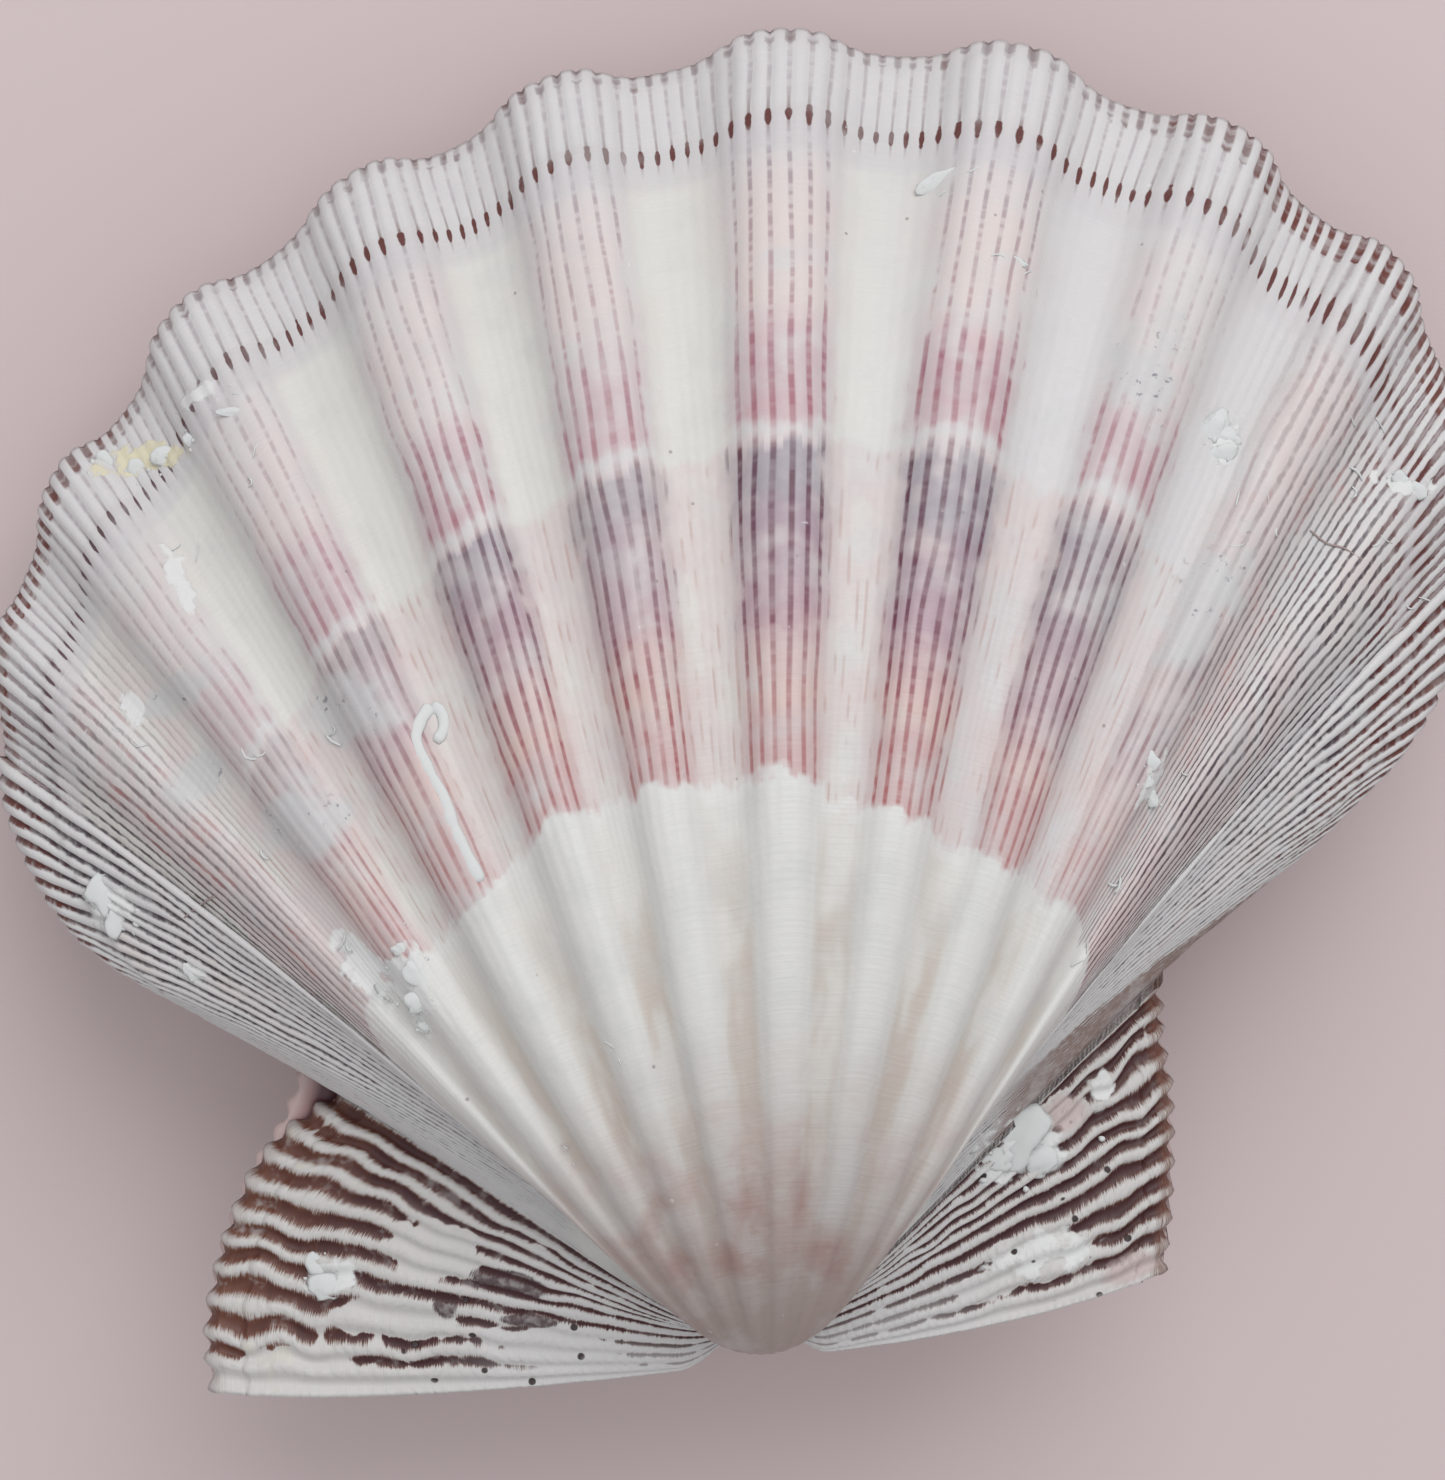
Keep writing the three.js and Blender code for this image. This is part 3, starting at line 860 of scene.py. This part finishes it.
LOWER_CREST = seen(196, 158, 142)
LOWER_GROOVE = seen(92, 44, 40)
LOWER_WORN = seen(205, 190, 180)
# Inside colours by growth: the dark purple band just within the lighter rim is partly the inside's purplish
# tint, partly painted shade of the hollow between the valves
INSIDE_WITH_HOLLOW_SHADE = [
    (0.0, seen(222, 212, 208)), (0.6, seen(218, 202, 200)), (0.8, seen(206, 168, 168)),
    (0.91, seen(116, 72, 82)), (0.96, seen(108, 70, 78)), (0.98, seen(184, 144, 144)),
    (1.0, seen(208, 186, 184)),
]
RING_GREY = seen(205, 202, 205)
RING_DOTS = seen(98, 50, 46)
LEFT_RING_DOTS = seen(96, 72, 78)
RING_STAGE = 0.925
EDGE_STAGE = 0.985
EDGE_GREY = seen(128, 116, 118)
EDGE_BROWN = seen(106, 54, 46)
MARGIN_LINE = seen(176, 166, 172)
FLANK_GREY = seen(78, 66, 74)
FLANK_BROWN = seen(92, 36, 32)
FLANK_ROSE = seen(168, 92, 88)
STRIP_BROWN = seen(136, 112, 104)
STRIP_START = 9.85
STRIP_SLOPE = 0.9
EAR_PLUM = seen(58, 16, 26)
EAR_RUST = seen(112, 66, 46)
EAR_WHITE = seen(208, 206, 204)
EAR_YELLOW = seen(216, 210, 192)
EAR_PINK = seen(198, 180, 178)
WORN_WHITE = seen(204, 205, 206)
WORN_GREY = seen(128, 128, 138)
YELLOW = seen(222, 216, 190)
# Painted shade inside the pits
PAINTED_PIT_SHADE = seen(60, 48, 48)
SPECK = seen(150, 140, 138)


def off_line(count):
    """How far a place is from the line nearest to it: 0 where the count is a half more than whole."""
    return count.math("FRACT").math("SUBTRACT", 0.5).math("ABSOLUTE")


def upper_fields(surface):
    """Values that several parts of the upper valve's colouring share."""
    names = ("growth", "rib", "riblet", "wave", "zone")
    at = SimpleNamespace(**{name: surface.value(name) for name in names})
    from_ribs = (at.zone - 2.0).math("ABSOLUTE")
    at.ribs = from_ribs.ramp(0.6, 0.4)
    at.ear = from_ribs.ramp(1.4, 1.6)
    at.disc = at.ear.opposite()
    at.along = at.growth * DISC_LENGTH
    at.groove = at.riblet.math("FLOOR") * 3.7
    at.streaks = surface.noise(at.groove, at.along * 0.22, 1.0)
    at.dashes = surface.noise(at.groove, at.along * 1.1, 2.0, 1.0)
    at.clouds = surface.noise(at.riblet * 0.16, at.along * 0.12, 3.0)
    at.blotches = surface.noise(at.riblet * 0.45, at.along * 0.3, 4.0)
    at.growth_lines = surface.noise(at.rib * 0.8, at.along * 3.0, 5.0, 3.0)
    at.fine = surface.grain(0.8)
    at.coarse = surface.grain(3.0)
    at.off_groove = off_line(at.riblet)
    at.line = at.off_groove.ramp(0.24, 0.09)
    at.thin_line = at.off_groove.ramp(0.17, 0.06)
    at.off_crest = off_line(at.rib + 0.5)
    at.breaks = at.dashes.ramp(0.36, 0.56)
    at.stage = at.growth + at.streaks.sway(0.02) + at.clouds.sway(0.02) + at.blotches.sway(0.012)
    return at


def ground_color(surface, at):
    """White riblets, creamy valleys and a pinkish inner half with a few pale lines."""
    creamy = at.wave.ramp(0.1, -0.6) * at.rib.ramp(6.4, 5.0)
    color = surface.mix(WHITE, CREAM, creamy * at.ribs * at.growth.ramp(0.93, 0.89))
    inner_half = at.stage.between(0.45, 0.692, 0.005)
    rosy = at.coarse.ramp(0.3, 0.6) * 0.3 + at.clouds.ramp(0.35, 0.6) * 0.5
    rosy = rosy + at.off_crest.ramp(0.5, 0.2) * 0.3
    color = surface.mix(color, PINKISH, inner_half * at.ribs * rosy)
    outer_half = at.stage.between(0.7, 0.93, 0.01) * at.clouds.ramp(0.45, 0.62)
    color = surface.mix(color, PINKISH, outer_half * at.off_crest.ramp(0.5, 0.15) * 0.5)
    faint_line = at.line * at.streaks.ramp(0.5, 0.62) * inner_half * at.ribs * 0.45
    return surface.mix(color, PALE_LINE, faint_line)


def with_rib_bands(surface, at, color):
    """Bands of colour on the ribs, and the dark lines in them."""
    banded = at.stage + surface.value("shift") * at.stage.between(0.5, 0.66, 0.04)
    amounts = surface.value("warm") * banded.between(0.4, DARK_STAGE, 0.008)
    amounts = amounts + surface.value("dark") * banded.between(DARK_STAGE, 0.692, 0.005)
    amounts = amounts + surface.value("rose") * banded.between(0.699, 0.772, 0.01)
    faint = surface.value("faint") * at.stage.between(0.772, 0.93, 0.01)
    from_crest = at.off_crest + at.coarse.sway(0.12) + at.blotches.sway(0.24)
    narrower = at.growth.ramp(0.68, 0.8) * 0.05
    crest = (from_crest + narrower).ramp(0.38, 0.2)
    patchy = at.blotches.ramp(0.25, 0.55) * 0.55 + surface.grain(6.0).ramp(0.35, 0.6) * 0.35 + 0.2
    color = surface.mix(color, banded.colors(RIB_BANDS), (amounts + faint) * crest * at.ribs * patchy)
    in_band = (from_crest + narrower).ramp(0.31, 0.25)
    own = surface.noise(at.groove, 9.0, 13.0).ramp(0.3, 0.55)
    strong = amounts * (at.streaks.ramp(0.22, 0.5) * 0.45 + at.breaks * 0.25 + own * 0.3)
    strong_line = at.line * in_band * at.ribs * strong * (at.blotches.ramp(0.28, 0.5) * 0.4 + 0.6)
    faint_line = at.thin_line * in_band * at.ribs * faint * (at.breaks * 0.5 + 0.25)
    return surface.mix(color, banded.colors(GROOVE_LINES), strong_line + faint_line)


def with_flanks(surface, at, color):
    """Dark grooves between white riblets on the flanks and the outermost ribs, brown near the margin."""
    sides = (at.rib.ramp(7.3, 8.9) + at.rib.ramp(1.1, -0.7)) * at.disc
    right = (at.rib - 4.5).math("SIGN") * 0.5 + 0.5
    width = right * at.growth.ramp(0.8, 0.95) * 0.05 + 0.17 + at.streaks.sway(0.16)
    line = off_line(at.riblet + at.fine.sway(0.3)).ramp(width + 0.08, width - 0.08)
    rosy = sides.between(0.15, 0.9, 0.1) * at.growth.between(0.5, 0.88, 0.06)
    color = surface.mix(color, PINKISH, rosy * at.clouds.ramp(0.35, 0.6) * 0.7)
    brown_from = right * -0.09 + 0.965
    brown = (at.growth + at.streaks.sway(0.16)).ramp(brown_from - 0.03, brown_from + 0.02)
    past_edge = at.rib - at.growth * STRIP_SLOPE - STRIP_START + at.fine.sway(0.2)
    strip = past_edge.ramp(0.0, 0.12) * at.growth.ramp(0.5, 0.6) * at.disc
    color = surface.mix(color, STRIP_BROWN, strip * (at.fine.ramp(0.3, 0.6) * 0.3 + 0.6))
    brown = (brown + strip).math("MINIMUM", 1.0)
    lowest = at.rib.ramp(-1.6, -2.3)
    groove_color = surface.mix(FLANK_GREY, FLANK_BROWN, brown * lowest.opposite())
    groove_color = surface.mix(groove_color, FLANK_ROSE, rosy * at.streaks.ramp(0.5, 0.65) * 0.7)
    reach = (at.growth + sides * 0.35).ramp(0.5, 0.95) * sides
    shown = at.streaks.ramp(0.15, 0.45) * 0.75 + at.breaks * 0.25
    return surface.mix(color, groove_color, line * reach * shown * (lowest * -0.35 + 1.0))


def with_last_ring(surface, at, color):
    """The last growth ring: a row of dots, a grey band inside it, and dashes along the very margin."""
    ring_band = at.growth.between(0.897, RING_STAGE, 0.006) * at.ribs
    color = surface.mix(color, RING_GREY, ring_band * 0.6)
    left = at.rib.ramp(3.0, 1.2)
    thickness = left * -0.05 + 0.18 + at.fine.sway(0.08)
    length = at.rib.ramp(6.5, 9.0) * 0.011 + 0.0068
    off_ring = (at.growth - RING_STAGE + at.dashes.sway(0.012)) / length
    dot = ((at.off_groove / thickness).math("POWER", 2.0) + off_ring.math("POWER", 2.0)).ramp(1.4, 0.6)
    tail = at.off_groove.ramp(0.12, 0.04) * at.growth.between(0.915, 0.945, 0.01) * 0.5
    rings = (dot + tail).math("MINIMUM", 1.0) * at.ribs * at.streaks.ramp(0.22, 0.42)
    color = surface.mix(color, surface.mix(RING_DOTS, LEFT_RING_DOTS, left), rings)
    margin = at.growth.ramp(0.935, 0.95) * at.ribs
    color = surface.mix(color, MARGIN_LINE, at.thin_line * margin * (at.breaks * 0.4 + 0.3))
    brown_edge = at.rib.ramp(6.2, 7.4) + at.rib.ramp(2.2, 0.8) + at.blotches.ramp(0.55, 0.65) * 0.5
    brown_edge = brown_edge.math("MINIMUM", 1.0)
    right = at.rib.ramp(5.8, 7.4) + at.rib.ramp(9.8, 10.6)
    start = brown_edge * -0.009 + right * -0.009 + at.dashes.sway(0.008) + EDGE_STAGE
    edge = (at.growth - start).ramp(0.0, 0.003) * at.off_groove.ramp(0.3, 0.18) * at.disc
    edge_color = surface.mix(EDGE_GREY, EDGE_BROWN, brown_edge)
    return surface.mix(color, edge_color, edge * (at.dashes.ramp(0.3, 0.6) * 0.6 + brown_edge * 0.4))


def with_beak_zone(surface, at, color):
    """The white zone round the beak, with tan valleys that are partly painted valley shade, pink blushes, a
    tip darkened by painted shade over its own greyer tone, and brown spots.
    """
    zone_end = surface.value("beak_zone") + at.dashes.sway(0.012) + at.blotches.sway(0.03)
    to_edge = zone_end - at.growth
    flank_zone = at.growth.ramp(0.42, 0.38) * at.ribs.opposite()
    zone = to_edge.ramp(-0.003, 0.006) * at.disc * (at.ribs + flank_zone)
    # Tan in the valleys between the ribs: partly the shell's own tint, partly painted valley shade
    tan = at.clouds.ramp(0.35, 0.6) * 0.5 + 0.2
    tan = at.wave.ramp(-0.1, -0.9) * tan * at.growth.ramp(0.52, 0.36)
    beak = surface.mix(BEAK_WHITE, BEAK_TAN_AND_VALLEY_SHADE, tan)
    blush = surface.grain(7.0).ramp(0.38, 0.6) * at.growth.ramp(0.36, 0.14)
    beak = surface.mix(beak, BEAK_BLUSH, blush * (at.coarse.ramp(0.3, 0.6) * 0.5 + 0.45))
    # Painted shade: darker and warmer towards the beak, where the steep surface gets less light, over the
    # tip's own greyer tone
    beak = surface.mix(beak, BEAK_PAINTED_SHADE, at.growth.ramp(0.36, 0.1) * 0.95)
    beak = surface.mix(beak, CHALK_WHITE, to_edge.between(0.0, 0.012, 0.004) * 0.35)
    color = surface.mix(color, beak, zone)
    spots = surface.patch("spots", at.fine.sway(0.5) + at.coarse.sway(0.8), 0.0, 0.9)
    return surface.mix(color, BEAK_SPOT, spots * 0.4)


def with_ears(surface, at, color):
    """Plum to rusty grooves between the ears' white ridges, tapering off and missing in places."""
    left = surface.value("left")
    noise = surface.noise(at.groove, at.along * 0.16, 7.0)
    comb = surface.noise(at.riblet * 0.6, at.along * 4.5, 8.0, 3.0)
    gone = surface.patch("plain", noise.sway(1.2) + at.coarse.sway(0.5), 0.05, 0.3)
    low_ridges = at.riblet.ramp(4.2, 2.2)
    full = (noise + at.growth * 0.14 - low_ridges * 0.1).ramp(0.28, 0.46) * gone.opposite()
    full = full * at.riblet.ramp(0.7, 1.4)
    ragged = at.fine.sway(0.2) + at.coarse.sway(0.2) + comb.sway(0.5)
    to_rim = at.off_groove + ragged - full * (at.growth.ramp(0.3, 0.75) * (left * -0.02 + 0.1) + 0.18)
    groove = to_rim.ramp(0.06, -0.07) * full.ramp(0.05, 0.3)
    rust = (at.growth + at.coarse.sway(0.6)).ramp(0.6, 1.0) * (left * 0.7 + 0.15)
    rust = (rust + to_rim.ramp(-0.16, 0.02) * 0.7).math("MINIMUM", 1.0)
    groove_color = surface.mix(EAR_PLUM, EAR_RUST, rust)
    film = (at.coarse + at.fine * 0.5).ramp(0.78, 1.0) * (left * 0.4 + 0.1)
    film = film + low_ridges * at.growth.ramp(0.6, 0.3) * 0.5
    groove_color = surface.mix(groove_color, WORN_WHITE, film.math("MINIMUM", 0.8))
    yellow = at.coarse.ramp(0.55, 0.7) * at.growth.ramp(0.7, 0.95) * left * 0.7
    color = surface.mix(color, EAR_WHITE, at.ear * at.growth.ramp(0.3, 0.7))
    color = surface.mix(color, EAR_YELLOW, at.ear * yellow)
    color = surface.mix(color, EAR_RUST, to_rim.ramp(0.14, 0.0) * full * at.ear * (left * 0.35 + 0.1))
    color = surface.mix(color, groove_color, groove * at.ear)
    rim = (at.growth + comb.sway(0.05)).ramp(0.955, 0.98) * left.opposite() * at.ear
    color = surface.mix(color, EAR_RUST, rim * (comb.ramp(0.4, 0.55) * 0.5 + 0.3))
    pink = surface.patch("pink", at.coarse.sway(0.9) + at.fine.sway(0.4), 0.0, 0.5)
    color = surface.mix(color, EAR_PINK, pink * 0.8)
    bare = surface.patch("bare", at.coarse.sway(0.6) + comb.sway(0.5), 0.1, 0.25)
    return surface.mix(color, EAR_PLUM, bare * (at.fine.ramp(0.3, 0.6) * 0.3 + 0.6))


def with_damage(surface, at, color):
    """Worn grey patches, white chalk, the yellowish crust, chips, and pits darkened with painted shade; also
    the chalk and pit fields.
    """
    film = surface.grain(5.0, 8.0).ramp(0.48, 0.68) * 0.3 * at.disc
    color = surface.mix(color, WORN_WHITE, film)
    worn = surface.patch("eroded", surface.grain(4.0, 6.0).sway(2.0), 0.0, 0.6)
    pocks = at.fine.ramp(0.6, 0.68) * at.coarse.ramp(0.5, 0.6)
    color = surface.mix(color, surface.mix(WORN_WHITE, WORN_GREY, pocks), worn * 0.85)
    chalk = surface.patch("chalk", surface.grain(2.2, 6.0).sway(2.4), 0.2, 0.5)
    color = surface.mix(color, CHALK_WHITE, chalk)
    chips = surface.grain(1.7, 2.0).ramp(0.76, 0.8) * at.disc * 0.6
    color = surface.mix(color, CHALK_WHITE, chips)
    yellow = surface.patch("yellow", surface.grain(1.4, 6.0).sway(2.0), 0.2, 0.5)
    color = surface.mix(color, YELLOW, yellow)
    holes = surface.specks(2.6, 0.16) * surface.value("pitted").ramp(0.0, 0.1)
    # The pits are painted dark: painted shade inside them
    color = surface.mix(color, PAINTED_PIT_SHADE, holes)
    color = surface.mix(color, SPECK, surface.specks(6.0, 0.035) * 0.7)
    return color, (chalk + yellow).math("MINIMUM", 1.0), holes


def right_valve_outside():
    surface = Surface("right_valve_shell")
    at = upper_fields(surface)
    color = ground_color(surface, at)
    color = with_rib_bands(surface, at, color)
    color = with_flanks(surface, at, color)
    color = with_last_ring(surface, at, color)
    color = with_beak_zone(surface, at, color)
    color = with_ears(surface, at, color)
    color, crusted, holes = with_damage(surface, at, color)
    beads = (at.along * 2.3 + at.coarse * 14.0).math("SINE") * at.off_groove.ramp(0.15, 0.45)
    height = at.growth_lines * 0.45 + beads * at.ear * 0.3 + at.fine * 0.35 + crusted * 0.6 - holes
    roughness = at.fine.sway(0.3) + 0.5 + crusted * 0.3
    return surface.finish(color, roughness, height, 0.12)


def left_valve_outside():
    surface = Surface("left_valve_shell")
    growth, rib, riblet, wave = (surface.value(key) for key in ("growth", "rib", "riblet", "wave"))
    along = growth * DISC_LENGTH
    streaks = surface.noise(riblet.math("FLOOR") * 3.7, along * 0.2, 11.0)
    clouds = surface.noise(riblet * 0.12, along * 0.1, 12.0)
    line = off_line(riblet).ramp(0.22, 0.11)
    stage = growth + clouds.sway(0.06) + streaks.sway(0.02)
    crests = wave.ramp(-0.2, 0.9) * clouds.ramp(0.4, 0.6) * 0.6
    color = surface.mix(stage.colors(LOWER_VALVE), LOWER_CREST, crests)
    color = surface.mix(color, LOWER_GROOVE, line * streaks.ramp(0.3, 0.6) * 0.8)
    grain = surface.grain(0.8)
    color = surface.mix(color, LOWER_WORN, surface.grain(7.0).ramp(0.62, 0.72) * 0.5)
    growth_lines = surface.noise(rib * 0.8, along * 3.0, 5.0, 3.0)
    return surface.finish(color, grain.sway(0.3) + 0.5, growth_lines * 0.8 + grain * 0.35, 0.12)


def valve_inside():
    surface = Surface("shell_inside")
    growth = surface.value("growth")
    # Inside colour by growth, with painted shade in the dark band near the margin
    return surface.finish((growth + surface.grain(9.0).sway(0.02)).colors(INSIDE_WITH_HOLLOW_SHADE), GLOSSY)


def plain(name, color, roughness):
    return Surface(name).finish(color, roughness)


inside = valve_inside()
chalk = plain("chalky_growths", seen(220, 223, 223), MATT)
thread = plain("dry_threads", seen(170, 152, 150), 0.7)
right_valve = valve_object("right_valve_shell", upper, [right_valve_outside(), inside, chalk, thread])
left_valve = valve_object("left_valve_shell", lower, [left_valve_outside(), inside])
for piece, node in ((right_valve, "right_valve"), (left_valve, "left_valve")):
    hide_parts(node)
    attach(piece, "root")

# Stage, light and camera
FLOOR_REACH = 8
DAYLIGHT = (0.98, 0.97, 0.98, 1)
DAYLIGHT_STRENGTH = 0.57
floor_mesh = bpy.data.meshes.new("floor")
corners = [(x * FLOOR_REACH, y * FLOOR_REACH, 0) for x, y in ((-1, -1), (1, -1), (1, 1), (-1, 1))]
floor_mesh.from_pydata(corners, [], [(0, 1, 2, 3)])
floor = bpy.data.objects.new("floor", floor_mesh)
floor_mesh.materials.append(plain("floor_paper", PAPER, MATT))
bpy.context.scene.collection.objects.link(floor)


def soft_light(name, place, size, power):
    data = bpy.data.lights.new(name, "AREA")
    data.shape = "DISK"
    data.size = size
    data.energy = power
    light = bpy.data.objects.new(name, data)
    light.location = place
    light.rotation_euler = (-Vector(place)).to_track_quat("-Z", "Y").to_euler()
    bpy.context.scene.collection.objects.link(light)


soft_light("window", (0.3, 0.75, 0.8), 0.9, 6.6)
soft_light("room", (0.1, 0.2, 1.1), 1.0, 2)
world = bpy.data.worlds.new("studio")
world.use_nodes = True
sky = world.node_tree.nodes["Background"]
sky.inputs["Color"].default_value = DAYLIGHT
sky.inputs["Strength"].default_value = DAYLIGHT_STRENGTH
bpy.context.scene.world = world
bpy.context.scene.view_settings.view_transform = "Standard"


def photo_camera():
    """The photograph's view: square to the hinge plane, with its middle where the photograph's middle is."""
    turn = Matrix.Rotation(HINGE_TURN, 3, "Z")
    across = (PHOTO_WIDTH / 2 - BEAK_PIXEL[0]) / PIXELS_PER_MM
    up = (BEAK_PIXEL[1] - PHOTO_HEIGHT / 2) / PIXELS_PER_MM
    target = turn.inverted() @ Vector((across, up, 0))
    tilt = Matrix.Rotation(REST_TILT, 3, "X")
    place = tilt @ Vector((target.x, target.y, CAMERA_DISTANCE)) + Vector(shift)
    data = bpy.data.cameras.new("photo_camera")
    data.sensor_width = 36
    data.lens = data.sensor_width * CAMERA_DISTANCE * PIXELS_PER_MM / PHOTO_HEIGHT
    data.clip_start = 0.01
    camera = bpy.data.objects.new("photo_camera", data)
    camera.matrix_world = Matrix.Translation(place * MM) @ (tilt @ turn.inverted()).to_4x4()
    bpy.context.scene.collection.objects.link(camera)
    bpy.context.scene.camera = camera


photo_camera()
